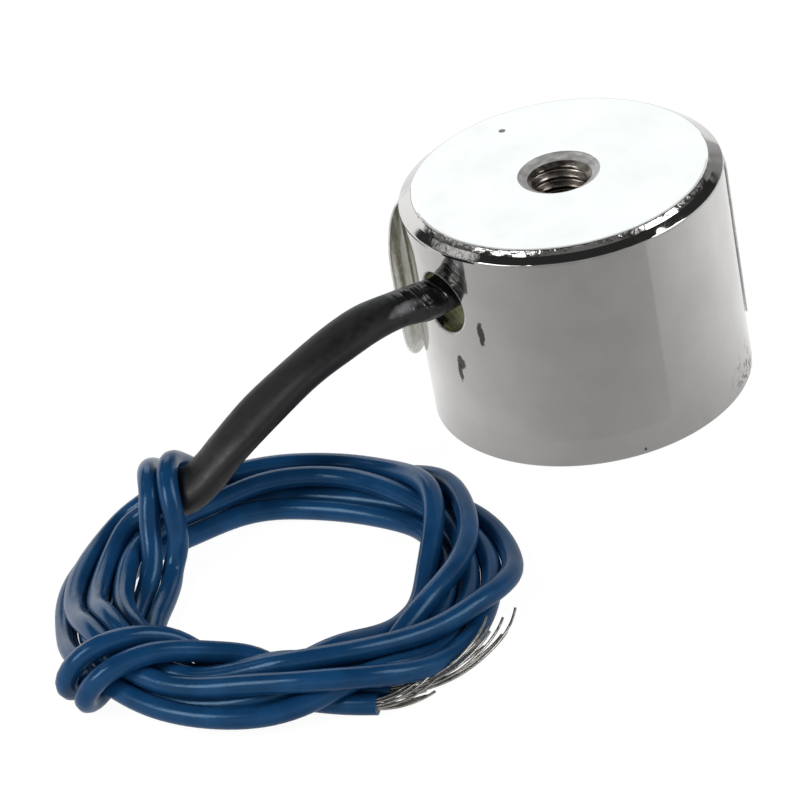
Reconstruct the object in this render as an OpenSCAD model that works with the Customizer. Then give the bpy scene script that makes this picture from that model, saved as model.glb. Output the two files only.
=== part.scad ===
// Round holding electromagnet: a steel pot with a potted coil, a tapped mounting hole
// on top, a flat holding face below and two leads wound into a flat ring.
// Millimetres, +Z up. The origin is the centre of the holding face, and the leads leave along -X.

/* [Pot body] */
// Outer diameter of the pot
body_d = 20; // [18:0.5:30]
// Height of the pot, holding face to mounting face
body_h = 15; // [14:0.5:24]
// Width of the bevel round the mounting face, measured across the face
bevel_w = 0.85; // [0.3:0.05:1.4]
// Height of that bevel, measured down the wall
bevel_h = 0.6; // [0.2:0.05:1]
// Edge break round the holding face
foot_break = 0.2; // [0.1:0.05:0.4]
// Thickness of the pot's wall
wall_t = 1.5; // [1.2:0.1:2]
// Thickness of the pot's closed end
end_t = 2.4; // [2:0.1:2.6]
// Width of the groove for the coil, from the centre pole to the wall
groove_w = 4; // [3.4:0.1:4.4]

/* [Mounting hole] */
// Diameter of the bore before the thread, 3.3 for M4
tap_d = 3.3; // [2.5:0.1:4.2]
// Depth of the bore at full diameter
tap_depth = 7; // [4:0.5:9]
// Full angle of the drill point at the bottom of the bore
drill_angle = 118; // [90:1:140]
// Diameter of the countersink at the mounting face
sink_d = 5.1; // [4.4:0.1:6]
// Full angle of the countersink
sink_angle = 120; // [82:1:130]

/* [Lead hole] */
// Diameter of the radial hole that the leads leave by
exit_d = 4; // [3.6:0.1:4.2]
// Depth of that hole's axis below the mounting face
exit_drop = 4.5; // [4.4:0.1:6]
// Edge break round that hole's mouth
exit_break = 0.15; // [0.05:0.05:0.3]

/* [Coil] */
// Thickness of the bobbin's tube and flanges
bobbin_t = 0.6; // [0.4:0.05:0.8]
// Radial clearance between the bobbin's tube and the pole
bobbin_fit = 0.05; // [0.02:0.01:0.1]
// Radial gap between the bobbin's flanges and the pot's wall
flange_gap = 0.25; // [0.15:0.05:0.4]
// Radial gap between the tape over the winding and the pot's wall
coil_gap = 0.75; // [0.6:0.05:1.2]
// Thickness of the tape over the winding
tape_t = 0.15; // [0.05:0.05:0.2]

/* [Potting] */
// Depth of resin over the bobbin at the holding face
face_fill = 1.2; // [0.8:0.1:2]
// How far the resin plug stops short of the wall, in the lead hole
plug_recess = 1.2; // [0.6:0.1:1.3]

/* [Leads] */
// Diameter of a lead over its insulation
lead_d = 1.3; // [1:0.05:1.4]
// Gap between the two leads where they lie side by side
lead_gap = 0.04; // [0:0.02:0.1]
// Length of each soldered joint, lead to winding
joint_l = 1; // [0.6:0.1:1.2]
// Diameter of each soldered joint
joint_d = 0.6; // [0.4:0.05:0.9]
// Gap between a lead's inner end and the tape
tail_gap = 0.2; // [0.1:0.05:0.4]
// Wall of the sleeve over both leads
sleeve_t = 0.2; // [0.1:0.05:0.3]
// How far the sleeve lies above the axis of the lead hole
sleeve_lift = 0.6; // [0.2:0.1:0.7]

/* [Lead ring] */
// Diameter of the ring of leads, at the middle of its band
ring_d = 22; // [20:0.5:30]
// Width of the ring's band
ring_w = 5.8; // [5:0.1:8]
// Height of the ring's band
ring_h = 2.8; // [2.6:0.1:3.6]
// Radius of the band's edges
ring_edge = 1.2; // [0.6:0.1:1.3]

/* [Label] */
// Height of the label
label_h = 10.3; // [6:0.1:10.6]
// Depth of the label's upper edge below the mounting face
label_drop = 1.3; // [1:0.1:3.6]
// Thickness of the label
label_t = 0.12; // [0.05:0.01:0.2]
// Thickness of the glue under the label
glue_t = 0.02; // [0.01:0.01:0.05]
// Angle at which the label's fast end lies, counted from +X
label_start = -37; // [-50:1:-20]
// Angle of the label's arc on the wall, from its fast end to where it lifts
label_arc = 159; // [120:1:162]
// Length of the label's loose end, which stands off the wall
flap_l = 5.6; // [4:0.1:6]
// Radius of the label's corners
label_corner = 3; // [1:0.1:3.5]

/* [Hidden] */
$fn = 96;

// Radii and levels of the pot
body_r = body_d / 2;
groove_r = body_r - wall_t;
pole_r = groove_r - groove_w;
groove_z = body_h - end_t;
tap_r = tap_d / 2;
sink_r = sink_d / 2;
sink_h = (sink_r - tap_r) / tan(sink_angle / 2);
exit_r = exit_d / 2;
drill_point = tap_r / tan(drill_angle / 2);
exit_z = body_h - exit_drop;
// Distance from the axis at which the lead hole's sides meet the round wall
exit_edge = sqrt(body_r * body_r - exit_r * exit_r);

// Radii and levels of the coil
tube_ri = pole_r + bobbin_fit;
tube_ro = tube_ri + bobbin_t;
flange_r = groove_r - flange_gap;
tape_r = groove_r - coil_gap;
winding_r = tape_r - tape_t;
window_z0 = face_fill + bobbin_t;
window_z1 = groove_z - bobbin_t;

// Resin plug and the leads in it
plug_x = body_r - plug_recess;
plug_root = (flange_r + groove_r) / 2;
leads_z = exit_z + sleeve_lift;
tail_y = (lead_d + lead_gap) / 2;
tail_x = tape_r + tail_gap;

// The sleeve's flattened section and the points that its middle follows
sleeve_a = lead_d + lead_gap / 2 + sleeve_t;
sleeve_b = lead_d / 2 + sleeve_t;
sleeve_sides = 8;
sleeve_upright = [-1, 0, 1];
sleeve_route = [
    [-plug_x, 0, leads_z], [-10.6, 0, 11.1], [-12.9, 0.4, 11.3], [-15, 0.9, 11.1],
    [-17, 1.3, 10.5], [-19, 1.7, 9.7], [-21, 2.1, 8.7], [-23, 2.5, 7.6], [-25, 2.9, 6.3],
    [-26.1, 3.3, 5.3], [-27.1, 3.8, 4.5], [-28, 4.7, 3.9], [-28.6, 5.6, 3.5], [-28.6, 5.6, ring_h]
];
ring_centre = [-27.6, -5.2];

// The label's inner radius and its lower edge
label_r = body_r + glue_t;
label_z = body_h - label_drop - label_h;

// Unit vector along v
function unit(v) = v / norm(v);

// Direction of a route at its point i
function heading(route, i) =
    unit(route[min(i + 1, len(route) - 1)] - route[max(i - 1, 0)]);

// One ring of points round point i of a route: an ellipse square to the heading
function ring_at(route, i, a, b, sides, upright) =
    let (along = heading(route, i), side = unit(cross(along, upright)), up = cross(side, along))
    [for (k = [0 : sides - 1])
        let (turn = 360 * (k + 0.5) / sides)
        route[i] + a * cos(turn) * side + b * sin(turn) * up];

// A closed tube of elliptical section along a route
module swept_tube(route, a, b, sides, upright) {
    last = len(route) - 1;
    points = [for (i = [0 : last]) each ring_at(route, i, a, b, sides, upright)];
    walls = [for (i = [0 : last - 1], k = [0 : sides - 1])
        let (n = (k + 1) % sides, low = i * sides, high = low + sides)
        [low + k, high + k, high + n, low + n]];
    start = [[for (k = [0 : sides - 1]) k]];
    end = [[for (k = [sides - 1 : -1 : 0]) last * sides + k]];
    polyhedron(points = points, faces = concat(walls, start, end), convexity = 4);
}

// A cylinder along -X at height z, from x0 to x1 measured outwards from the axis
module radial_rod(r, x0, x1, y, z) {
    translate([-x0, y, z]) rotate([0, -90, 0]) cylinder(r = r, h = x1 - x0);
}

// A flat ring round Z
module sleeve_ring(ri, ro, z0, z1) {
    rotate_extrude() polygon([[ri, z0], [ro, z0], [ro, z1], [ri, z1]]);
}

// The tail of one lead and its joint, side -1 or 1
module tail(side) {
    radial_rod(lead_d / 2, tail_x, plug_x, side * tail_y, leads_z);
}

module joint(side) {
    radial_rod(joint_d / 2, tail_x - joint_l, tail_x, side * tail_y, leads_z);
}

// The steel pot with its centre pole, tapped hole and lead hole
module pot_body() {
    color([0.76, 0.76, 0.75])
    difference() {
        rotate_extrude() polygon([
            [0, 0], [pole_r, 0], [pole_r, groove_z], [groove_r, groove_z], [groove_r, 0],
            [body_r - foot_break, 0], [body_r, foot_break],
            [body_r, body_h - bevel_h], [body_r - bevel_w, body_h],
            [sink_r, body_h], [tap_r, body_h - sink_h],
            [tap_r, body_h - tap_depth], [0, body_h - tap_depth - drill_point]
        ]);
        radial_rod(exit_r, (pole_r + groove_r) / 2, body_r + exit_r, 0, exit_z);
        translate([-(exit_edge - exit_break), 0, exit_z]) rotate([0, -90, 0])
            cylinder(r1 = exit_r, r2 = exit_r + body_r, h = body_r);
    }
}

// The bobbin: a tube with a flange at each end
module bobbin() {
    color([0.93, 0.92, 0.88])
    rotate_extrude() polygon([
        [tube_ri, face_fill], [flange_r, face_fill], [flange_r, window_z0], [tube_ro, window_z0],
        [tube_ro, window_z1], [flange_r, window_z1], [flange_r, groove_z], [tube_ri, groove_z]
    ]);
}

// The winding, with the two pockets that the joints reach into
module winding() {
    color([0.72, 0.4, 0.2])
    difference() {
        sleeve_ring(tube_ro, winding_r, window_z0, window_z1);
        for (side = [-1, 1]) joint(side);
    }
}

// The tape over the winding, cut where the joints pass
module coil_tape() {
    color([0.9, 0.75, 0.25])
    difference() {
        sleeve_ring(winding_r, tape_r, window_z0, window_z1);
        for (side = [-1, 1]) joint(side);
    }
}

// The resin: a flush ring at the holding face, the fill round the coil and the plug in the lead hole
module potting_resin() {
    color([0.4, 0.4, 0.2])
    difference() {
        union() {
            rotate_extrude() polygon([
                [pole_r, 0], [groove_r, 0], [groove_r, groove_z], [flange_r, groove_z],
                [flange_r, window_z1], [tape_r, window_z1], [tape_r, window_z0],
                [flange_r, window_z0], [flange_r, face_fill], [pole_r, face_fill]
            ]);
            difference() {
                radial_rod(exit_r, pole_r, plug_x, 0, exit_z);
                cylinder(r = plug_root, h = body_h);
            }
        }
        for (side = [-1, 1]) {
            tail(side);
            joint(side);
        }
    }
}

module joint_a() { color([0.8, 0.8, 0.82]) joint(-1); }

module joint_b() { color([0.8, 0.8, 0.82]) joint(1); }

module lead_tail_a() { color([0.1, 0.25, 0.5]) tail(-1); }

module lead_tail_b() { color([0.1, 0.25, 0.5]) tail(1); }

// The heat-shrink sleeve with both leads in it, from the resin plug down to the ring
module lead_sleeve() {
    color([0.14, 0.14, 0.15])
    swept_tube(sleeve_route, sleeve_a, sleeve_b, sleeve_sides, sleeve_upright);
}

// The outer shape of the ring that the two leads are wound into
module lead_coil() {
    flat_w = ring_w / 2 - ring_edge;
    color([0.1, 0.25, 0.5])
    translate([ring_centre.x, ring_centre.y, 0])
    rotate_extrude() translate([ring_d / 2, ring_h / 2]) {
        square([ring_w, ring_h - 2 * ring_edge], center = true);
        square([ring_w - 2 * ring_edge, ring_h], center = true);
        for (x = [-flat_w, flat_w], y = [-1, 1])
            translate([x, y * (ring_h / 2 - ring_edge)]) circle(r = ring_edge);
    }
}

// The label seen from above, with its lifting line on +X: an arc on the wall that ends there,
// and a loose end that goes on along the tangent
module label_plan() {
    difference() {
        circle(r = label_r + label_t);
        circle(r = label_r);
        rotate(-label_arc) translate([-body_d, -body_d]) square([2 * body_d, body_d]);
        translate([-body_d, 0]) square([2 * body_d, body_d]);
    }
    translate([label_r, 0]) square([label_t, flap_l]);
}

// What is cut away outside one rounded corner of the loose end, side -1 below or 1 above
module flap_corner(side) {
    translate([label_r + 2 * label_t, flap_l - label_corner, label_h / 2])
    rotate([0, -90, 0]) linear_extrude(3 * label_t) scale([side, 1])
    translate([label_h / 2 - label_corner, 0]) difference() {
        square(2 * label_corner);
        circle(r = label_corner);
    }
}

// The label: a sheet glued round the back of the wall, with one end come loose
module label() {
    color([0.82, 0.81, 0.78])
    translate([0, 0, label_z]) rotate([0, 0, label_start + label_arc]) difference() {
        linear_extrude(label_h) label_plan();
        for (side = [-1, 1]) flap_corner(side);
    }
}

pot_body();
bobbin();
winding();
coil_tape();
potting_resin();
joint_a();
joint_b();
lead_tail_a();
lead_tail_b();
lead_sleeve();
lead_coil();
label();
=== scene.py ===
"""Looks of a small round holding electromagnet with two blue leads wound into a ring.

Sizes in the classes are millimetres in the part's own frame: +Z is up, the origin is the
centre of the holding face and the leads leave along -X. Meshes are written in metres.
"""
import logging
import math
from dataclasses import dataclass, field
from enum import Enum, IntEnum

import bmesh
import bpy
import numpy as np
from mathutils import Matrix, Vector


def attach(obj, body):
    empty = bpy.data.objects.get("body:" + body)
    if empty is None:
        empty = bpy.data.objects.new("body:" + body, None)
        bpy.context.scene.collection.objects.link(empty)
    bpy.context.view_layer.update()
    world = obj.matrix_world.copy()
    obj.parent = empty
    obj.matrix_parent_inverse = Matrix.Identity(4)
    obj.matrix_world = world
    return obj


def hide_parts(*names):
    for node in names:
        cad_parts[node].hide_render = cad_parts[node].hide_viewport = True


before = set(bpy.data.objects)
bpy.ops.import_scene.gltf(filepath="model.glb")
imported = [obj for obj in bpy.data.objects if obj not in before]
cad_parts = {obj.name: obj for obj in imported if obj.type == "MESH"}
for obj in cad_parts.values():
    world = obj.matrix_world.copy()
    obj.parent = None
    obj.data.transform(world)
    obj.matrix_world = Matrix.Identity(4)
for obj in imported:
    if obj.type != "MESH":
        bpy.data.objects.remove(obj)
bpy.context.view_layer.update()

MM = 0.001
BODY = "root"
WELD_M = 1e-7
SLIVER_M = 1e-8
CURVE_STEPS = 24
NOISE_RANGE = (0.3, 0.7)
RGBA = tuple[float, float, float, float]
Point = tuple[float, float, float]

log = logging.getLogger("electromagnet")


class Shading(Enum):
    """How a mesh's faces are shaded."""

    SMOOTH = "smooth"
    FLAT = "flat"


class Slot(Enum):
    """The record's material slots."""

    STEEL = "plated_steel"
    SOLDER = "solder"
    BLUE = "blue_insulation"
    BLACK = "black_sleeve"
    FILM = "label_film"


class Zone(Enum):
    """The stretches of the pot's turned profile."""

    BORE = "bore"
    FACE = "face"
    BEVEL = "bevel"
    WALL = "wall"
    FOOT = "foot"
    GROOVE = "groove"
    POLE = "pole"


class Coat(IntEnum):
    """The pot's finishes, by their numbers on its mesh."""

    PLATED = 0
    TAPPED = 1
    MACHINED = 2


class Lay(Enum):
    """How a stretch of a lead is fitted to the ring's outline."""

    TURN = "drawn together, and lifted at the front"
    INNER = "as a turn, and moved outwards and down at the front right"
    LAST = "drawn together only"
    FAR_WRAP = "drawn in and pressed down"
    NEAR_WRAP = "left as chosen"


Row = tuple[float, float, Zone]


# Helpers for meshes


def mesh_object(name: str, points: np.ndarray, faces: list, shading: Shading = Shading.SMOOTH,
                sharp_deg: float = 40.0) -> bpy.types.Object:
    """Makes a mesh object at the origin from points in millimetres.

    Args:
        name: The piece's name.
        points: Points, one a row, in millimetres.
        faces: Lists of point numbers.
        shading: Whether the faces are smooth.
        sharp_deg: Angle past which an edge stays sharp on a smooth mesh.

    Returns:
        The object, linked to the scene.
    """
    mesh = bpy.data.meshes.new(name)
    mesh.from_pydata((np.asarray(points, float) * MM).tolist(), [], faces)
    work = bmesh.new()
    work.from_mesh(mesh)
    bmesh.ops.remove_doubles(work, verts=work.verts, dist=WELD_M)
    bmesh.ops.dissolve_degenerate(work, edges=work.edges, dist=SLIVER_M)
    bmesh.ops.recalc_face_normals(work, faces=work.faces)
    work.to_mesh(mesh)
    work.free()
    if shading is Shading.SMOOTH:
        mesh.shade_smooth()
        mesh.set_sharp_from_angle(angle=math.radians(sharp_deg))
    obj = bpy.data.objects.new(name, mesh)
    bpy.context.scene.collection.objects.link(obj)
    return obj


def smooth_line(points: np.ndarray, spacing: float) -> np.ndarray:
    """Runs one smooth curve through points and spaces it evenly.

    Args:
        points: The points that the curve passes, one a row.
        spacing: Distance between the points that come back.

    Returns:
        Points along the curve, ends included.
    """
    p = np.asarray(points, float)
    p = np.vstack([2 * p[0] - p[1], p, 2 * p[-1] - p[-2]])
    fine = []
    for a, b, c, d in zip(p[:-3], p[1:-2], p[2:-1], p[3:]):
        t0, t1, t2 = (max(np.linalg.norm(v), 1e-6) ** 0.5 for v in (b - a, c - b, d - c))
        m1 = (c - b) - t1 * ((c - a) / (t0 + t1) - (b - a) / t0)
        m2 = (c - b) + t1 * ((d - c) / t2 - (d - b) / (t1 + t2))
        for u in np.linspace(0, 1, CURVE_STEPS, endpoint=False):
            h = (2 * u**3 - 3 * u**2 + 1, u**3 - 2 * u**2 + u, -2 * u**3 + 3 * u**2, u**3 - u**2)
            fine.append(h[0] * b + h[1] * m1 + h[2] * c + h[3] * m2)
    fine.append(p[-2])
    return even_line(np.array(fine), spacing)


def even_line(line: np.ndarray, spacing: float) -> np.ndarray:
    """Spaces a dense line's points evenly.

    Args:
        line: Dense points along the line.
        spacing: Distance between the points that come back.

    Returns:
        The evenly spaced points.
    """
    run = np.concatenate([[0], np.cumsum(np.linalg.norm(np.diff(line, axis=0), axis=1))])
    count = max(3, int(round(run[-1] / spacing)) + 1)
    at = np.linspace(0, run[-1], count)
    return np.stack([np.interp(at, run, line[:, k]) for k in range(3)], axis=1)


def length_of(line: np.ndarray) -> float:
    """Length of a line of points."""
    return float(np.linalg.norm(np.diff(line, axis=0), axis=1).sum())


def unit_rows(vectors: np.ndarray) -> np.ndarray:
    """Vectors, one a row, brought to unit length."""
    return vectors / np.linalg.norm(vectors, axis=1, keepdims=True)


def headings(line: np.ndarray) -> np.ndarray:
    """Unit directions of a line at its points."""
    return unit_rows(np.gradient(line, axis=0))


def held_share(value: float) -> float:
    """A value held between 0 and 1."""
    return max(0.0, min(1.0, value))


def ring_faces(low: int, high: int, count: int, first: int = 0) -> list[list[int]]:
    """Faces between two closed rings of points.

    Args:
        low: Number of the first ring's first point.
        high: Number of the second ring's first point.
        count: How many points a ring has.
        first: The column to begin at.

    Returns:
        The faces, one a column.
    """
    columns = [(k, (k + 1) % count) for k in range(first, count)]
    return [[low + k, low + n, high + n, high + k] for k, n in columns]


# Materials


class Nodes:
    """Adds nodes to one tree and joins them.

    Attributes:
        tree: The node tree.
    """

    def __init__(self, tree: bpy.types.NodeTree) -> None:
        """Takes a tree and empties it."""
        self.tree = tree
        tree.nodes.clear()

    def add(self, kind: str, operation: str | None = None) -> bpy.types.Node:
        """Adds a node, with its operation if it has one."""
        node = self.tree.nodes.new(kind)
        if operation is not None:
            node.operation = operation
        return node

    def feed(self, socket: bpy.types.NodeSocket, value: object) -> None:
        """Links a socket to another, or sets its value."""
        if isinstance(value, bpy.types.NodeSocket):
            self.tree.links.new(value, socket)
        else:
            socket.default_value = value

    def math(self, kind: str, *values: object) -> bpy.types.NodeSocket:
        """One arithmetic step on values or sockets."""
        node = self.add("ShaderNodeMath", kind)
        for socket, value in zip(node.inputs, values):
            self.feed(socket, value)
        return node.outputs["Value"]

    def times(self, a: object, b: object) -> bpy.types.NodeSocket:
        """Product of two values or sockets."""
        return self.math("MULTIPLY", a, b)

    def scaled(self, source: bpy.types.NodeSocket, low: float, high: float, to_low: float,
               to_high: float) -> bpy.types.NodeSocket:
        """Maps a value's range low to high onto another range, held at its ends."""
        node = self.add("ShaderNodeMapRange")
        ends = {"Value": source, "From Min": low, "From Max": high, "To Min": to_low, "To Max": to_high}
        for name, value in ends.items():
            self.feed(node.inputs[name], value)
        return node.outputs["Result"]

    def length(self, vector: bpy.types.NodeSocket) -> bpy.types.NodeSocket:
        """Length of a vector."""
        node = self.add("ShaderNodeVectorMath", "LENGTH")
        self.feed(node.inputs[0], vector)
        return node.outputs["Value"]

    def facing(self, vector: bpy.types.NodeSocket, azimuth: float) -> bpy.types.NodeSocket:
        """How far a unit vector points towards an azimuth in degrees: 1 along it, -1 against it."""
        node = self.add("ShaderNodeVectorMath", "DOT_PRODUCT")
        a = math.radians(azimuth)
        self.feed(node.inputs[0], vector)
        self.feed(node.inputs[1], (math.cos(a), math.sin(a), 0))
        return node.outputs["Value"]


class Paint(Nodes):
    """Builds one procedural material, node by node.

    Attributes:
        material: The material.
        shader: Its Principled BSDF node.
    """

    # The mix node's colour sockets, whose names its other kinds of socket share
    MIX_A, MIX_B, MIX_OUT = 6, 7, 2

    def __init__(self, name: str) -> None:
        """Starts a material with a shader and an output."""
        self.material = bpy.data.materials.new(name)
        self.material.use_nodes = True
        super().__init__(self.material.node_tree)
        self.shader = self.add("ShaderNodeBsdfPrincipled")
        out = self.add("ShaderNodeOutputMaterial")
        self.feed(out.inputs["Surface"], self.shader.outputs["BSDF"])
        self._object = self.add("ShaderNodeTexCoord").outputs["Object"]

    def put(self, **sockets: float | RGBA) -> "Paint":
        """Sets constant values on the shader's own sockets, with _ for a blank in their names."""
        for name, value in sockets.items():
            self.shader.inputs[name.replace("_", " ")].default_value = value
        return self

    def join(self, source: bpy.types.NodeSocket, name: str) -> "Paint":
        """Links a node's output to one of the shader's sockets."""
        self.feed(self.shader.inputs[name], source)
        return self

    def place(self, offset: Point = (0, 0, 0), scale: Point = (1, 1, 1)) -> bpy.types.NodeSocket:
        """Object coordinates in millimetres, moved so that offset is the origin, then scaled."""
        node = self.add("ShaderNodeMapping")
        self.feed(node.inputs["Vector"], self._object)
        node.inputs["Scale"].default_value = tuple(s / MM for s in scale)
        node.inputs["Location"].default_value = tuple(-o * s for o, s in zip(offset, scale))
        return node.outputs["Vector"]

    def noise(self, cells: float, detail: float = 4.0, where: bpy.types.NodeSocket | None = None,
              rough: float = 0.5) -> bpy.types.NodeSocket:
        """Soft noise with about so many cells a millimetre."""
        node = self.add("ShaderNodeTexNoise")
        self.feed(node.inputs["Vector"], where or self.place())
        for name, value in (("Scale", cells), ("Detail", detail), ("Roughness", rough)):
            node.inputs[name].default_value = value
        return node.outputs["Fac"]

    def grain(self, cells: float, detail: float, low: float, high: float) -> bpy.types.NodeSocket:
        """Soft noise whose usual range is spread from low to high."""
        return self.scaled(self.noise(cells, detail), *NOISE_RANGE, low, high)

    def mix(self, share: bpy.types.NodeSocket, a: object, b: object) -> bpy.types.NodeSocket:
        """Mixes two colours by a share."""
        node = self.add("ShaderNodeMix")
        node.data_type = "RGBA"
        self.feed(node.inputs["Factor"], share)
        self.feed(node.inputs[self.MIX_A], a)
        self.feed(node.inputs[self.MIX_B], b)
        return node.outputs[self.MIX_OUT]

    def near(self, centre: Point, radius: float, soft: float = 0.5, scale: Point = (1, 1, 1),
             ragged: bpy.types.NodeSocket | None = None) -> bpy.types.NodeSocket:
        """1 inside a ball round a point, falling to 0 outside it, with a ragged edge if one is given."""
        gap = self.length(self.place(centre, scale))
        if ragged is not None:
            gap = self.math("ADD", gap, ragged)
        return self.scaled(gap, radius * (1 - soft), radius, 1.0, 0.0)

    def spread(self) -> bpy.types.NodeSocket:
        """Distance from the magnet's axis in millimetres."""
        return self.length(self.place(scale=(1, 1, 0)))

    def height(self) -> bpy.types.NodeSocket:
        """Height above the holding face in millimetres."""
        node = self.add("ShaderNodeSeparateXYZ")
        self.feed(node.inputs[0], self.place())
        return node.outputs["Z"]

    def bump(self, *layers: tuple[bpy.types.NodeSocket, float]) -> "Paint":
        """Adds bump from heights, each with its depth in millimetres."""
        last = None
        for height, depth in layers:
            node = self.add("ShaderNodeBump")
            node.inputs["Strength"].default_value = 1.0
            node.inputs["Distance"].default_value = depth * MM
            self.feed(node.inputs["Height"], height)
            if last is not None:
                self.feed(node.inputs["Normal"], last)
            last = node.outputs["Normal"]
        return self.join(last, "Normal")


@dataclass(frozen=True)
class PlatedSteel:
    """Bright plating on turned steel: a rough-polished bevel, dull stains low down and a few painted dark
    reflections.

    A painted reflection is its centre, then its half sizes across and up.
    """

    name: str = "plated_steel"
    light: RGBA = (0.58, 0.572, 0.56, 1)
    dull: RGBA = (0.47, 0.455, 0.435, 1)
    # Dark colour of the real stain low down, also used for the painted dark reflections.
    stain_and_reflection: RGBA = (0.045, 0.042, 0.036, 1)
    stain_at: Point = (6.1, -7.9, 0.4)
    stain_r: float = 3.0
    bevel_from: float = 9.15
    bevel_above: tuple[float, float] = (14.25, 14.4)
    swirl_at: Point = (-9.3, -1.6, 14.8)
    swirl_r: float = 3.2
    worn_at: Point = (-4.7, -7.9, 15.0)
    worn_r: float = 14.5
    worn_rim_r: float = 13.0
    painted_reflections: tuple[tuple[Point, float, float], ...] = (
        ((0.99, 7.02, 15.0), 0.26, 0.3), ((-9.5, -3.12, 9.2), 0.26, 0.95), ((-9.95, -1.0, 6.6), 0.42, 0.55),
        ((-9.97, -0.82, 6.0), 0.24, 0.85), ((-3.32, -9.43, 0.45), 0.1, 0.14))

    def make(self) -> bpy.types.Material:
        """Builds the material."""
        p = Paint(self.name)
        p.put(Metallic=1.0)
        colour = p.mix(p.scaled(p.noise(0.35, 5), 0.35, 0.75, 0, 0.45), self.light, self.dull)
        patch = p.times(p.near(self.stain_at, self.stain_r, 0.8, (1, 1, 1.1)),
                        p.scaled(p.noise(1.7, 6, rough=0.65), 0.5, 0.57, 0, 0.9))
        colour = p.mix(patch, colour, self.stain_and_reflection)
        ragged = p.grain(2.2, 3, -0.25, 0.25)
        # Painted dark reflections near the lead hole and on the top, in the stain's dark colour.
        for centre, across, up in self.painted_reflections:
            reflection_spot = p.near(centre, 1.0, 0.3, (1 / across, 1 / across, 1 / up), ragged)
            colour = p.mix(p.times(reflection_spot, 0.92), colour, self.stain_and_reflection)
        p.join(colour, "Base Color")
        p.join(p.math("ADD", p.grain(0.8, 6, 0.06, 0.12), p.times(patch, 0.3)), "Roughness")
        bevel = self._bevel(p)
        swirl = p.times(bevel, p.near(self.swirl_at, self.swirl_r, 0.6))
        p.bump((p.noise(0.45, 2), 0.02), (p.noise(9.0, 3), 0.0006),
               (p.times(bevel, p.noise(0.32, 2)), 0.30),
               (p.times(swirl, p.noise(2.6, 5, rough=0.65)), 0.03),
               (p.times(self._rim(p), p.noise(1.5, 4, rough=0.6)), 0.14))
        return p.material

    def _bevel(self, p: Paint) -> bpy.types.NodeSocket:
        """1 on the worn side of the bevel, 0 elsewhere."""
        past = p.scaled(p.spread(), self.bevel_from - 0.03, self.bevel_from, 0, 1)
        above = p.scaled(p.height(), *self.bevel_above, 0, 1)
        return p.times(p.times(past, above), p.near(self.worn_at, self.worn_r, 0.3))

    def _rim(self, p: Paint) -> bpy.types.NodeSocket:
        """1 on the worn side of the ragged line between the top and the bevel, 0 elsewhere."""
        edge = self.bevel_from
        line = p.times(p.scaled(p.spread(), edge - 0.15, edge - 0.05, 0, 1),
                       p.scaled(p.spread(), edge + 0.05, edge + 0.35, 1, 0))
        return p.times(line, p.near(self.worn_at, self.worn_rim_r, 0.3))


@dataclass(frozen=True)
class TappedSteel:
    """The darker, slightly oily steel in the tapped bore, with painted shade that darkens it deeper down."""

    name: str = "tapped_steel"
    light: RGBA = (0.36, 0.33, 0.30, 1)
    dark: RGBA = (0.10, 0.075, 0.06, 1)
    # Heights over which the painted shade deepens down the bore.
    shaded_heights: tuple[float, float] = (11.2, 14.5)

    def make(self) -> bpy.types.Material:
        """Builds the material."""
        p = Paint(self.name)
        p.put(Metallic=1.0)
        # Painted shade: darker deeper down the bore, with random darker patches added.
        deep = p.scaled(p.height(), *self.shaded_heights, 1.0, 0.1)
        depth_shade_and_patches = p.math("ADD", deep, p.scaled(p.noise(1.4, 5), 0.45, 0.7, 0, 0.5))
        p.join(p.mix(depth_shade_and_patches, self.light, self.dark), "Base Color")
        p.join(p.grain(3.0, 4, 0.22, 0.4), "Roughness")
        p.bump((p.noise(12.0, 3), 0.004))
        return p.material


@dataclass(frozen=True)
class BlueVinyl:
    """Soft blue insulation with faint scuffs."""

    name: str = "blue_insulation"
    deep: RGBA = (0.006, 0.049, 0.138, 1)
    pale: RGBA = (0.011, 0.073, 0.198, 1)
    scuff: RGBA = (0.22, 0.33, 0.45, 1)
    sheen: RGBA = (0.5, 0.78, 1.0, 1)

    def make(self) -> bpy.types.Material:
        """Builds the material."""
        p = Paint(self.name)
        p.put(IOR=1.5, Specular_IOR_Level=0.36, Specular_Tint=self.sheen)
        base = p.mix(p.scaled(p.noise(0.5, 3), 0.35, 0.7, 0, 1), self.deep, self.pale)
        mark = p.scaled(p.noise(2.4, 8, rough=0.7), 0.71, 0.76, 0, 0.35)
        p.join(p.mix(mark, base, self.scuff), "Base Color")
        p.join(p.grain(1.2, 4, 0.17, 0.26), "Roughness")
        p.bump((p.noise(1.1, 3), 0.015), (p.noise(14.0, 3), 0.0015))
        return p.material


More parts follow.
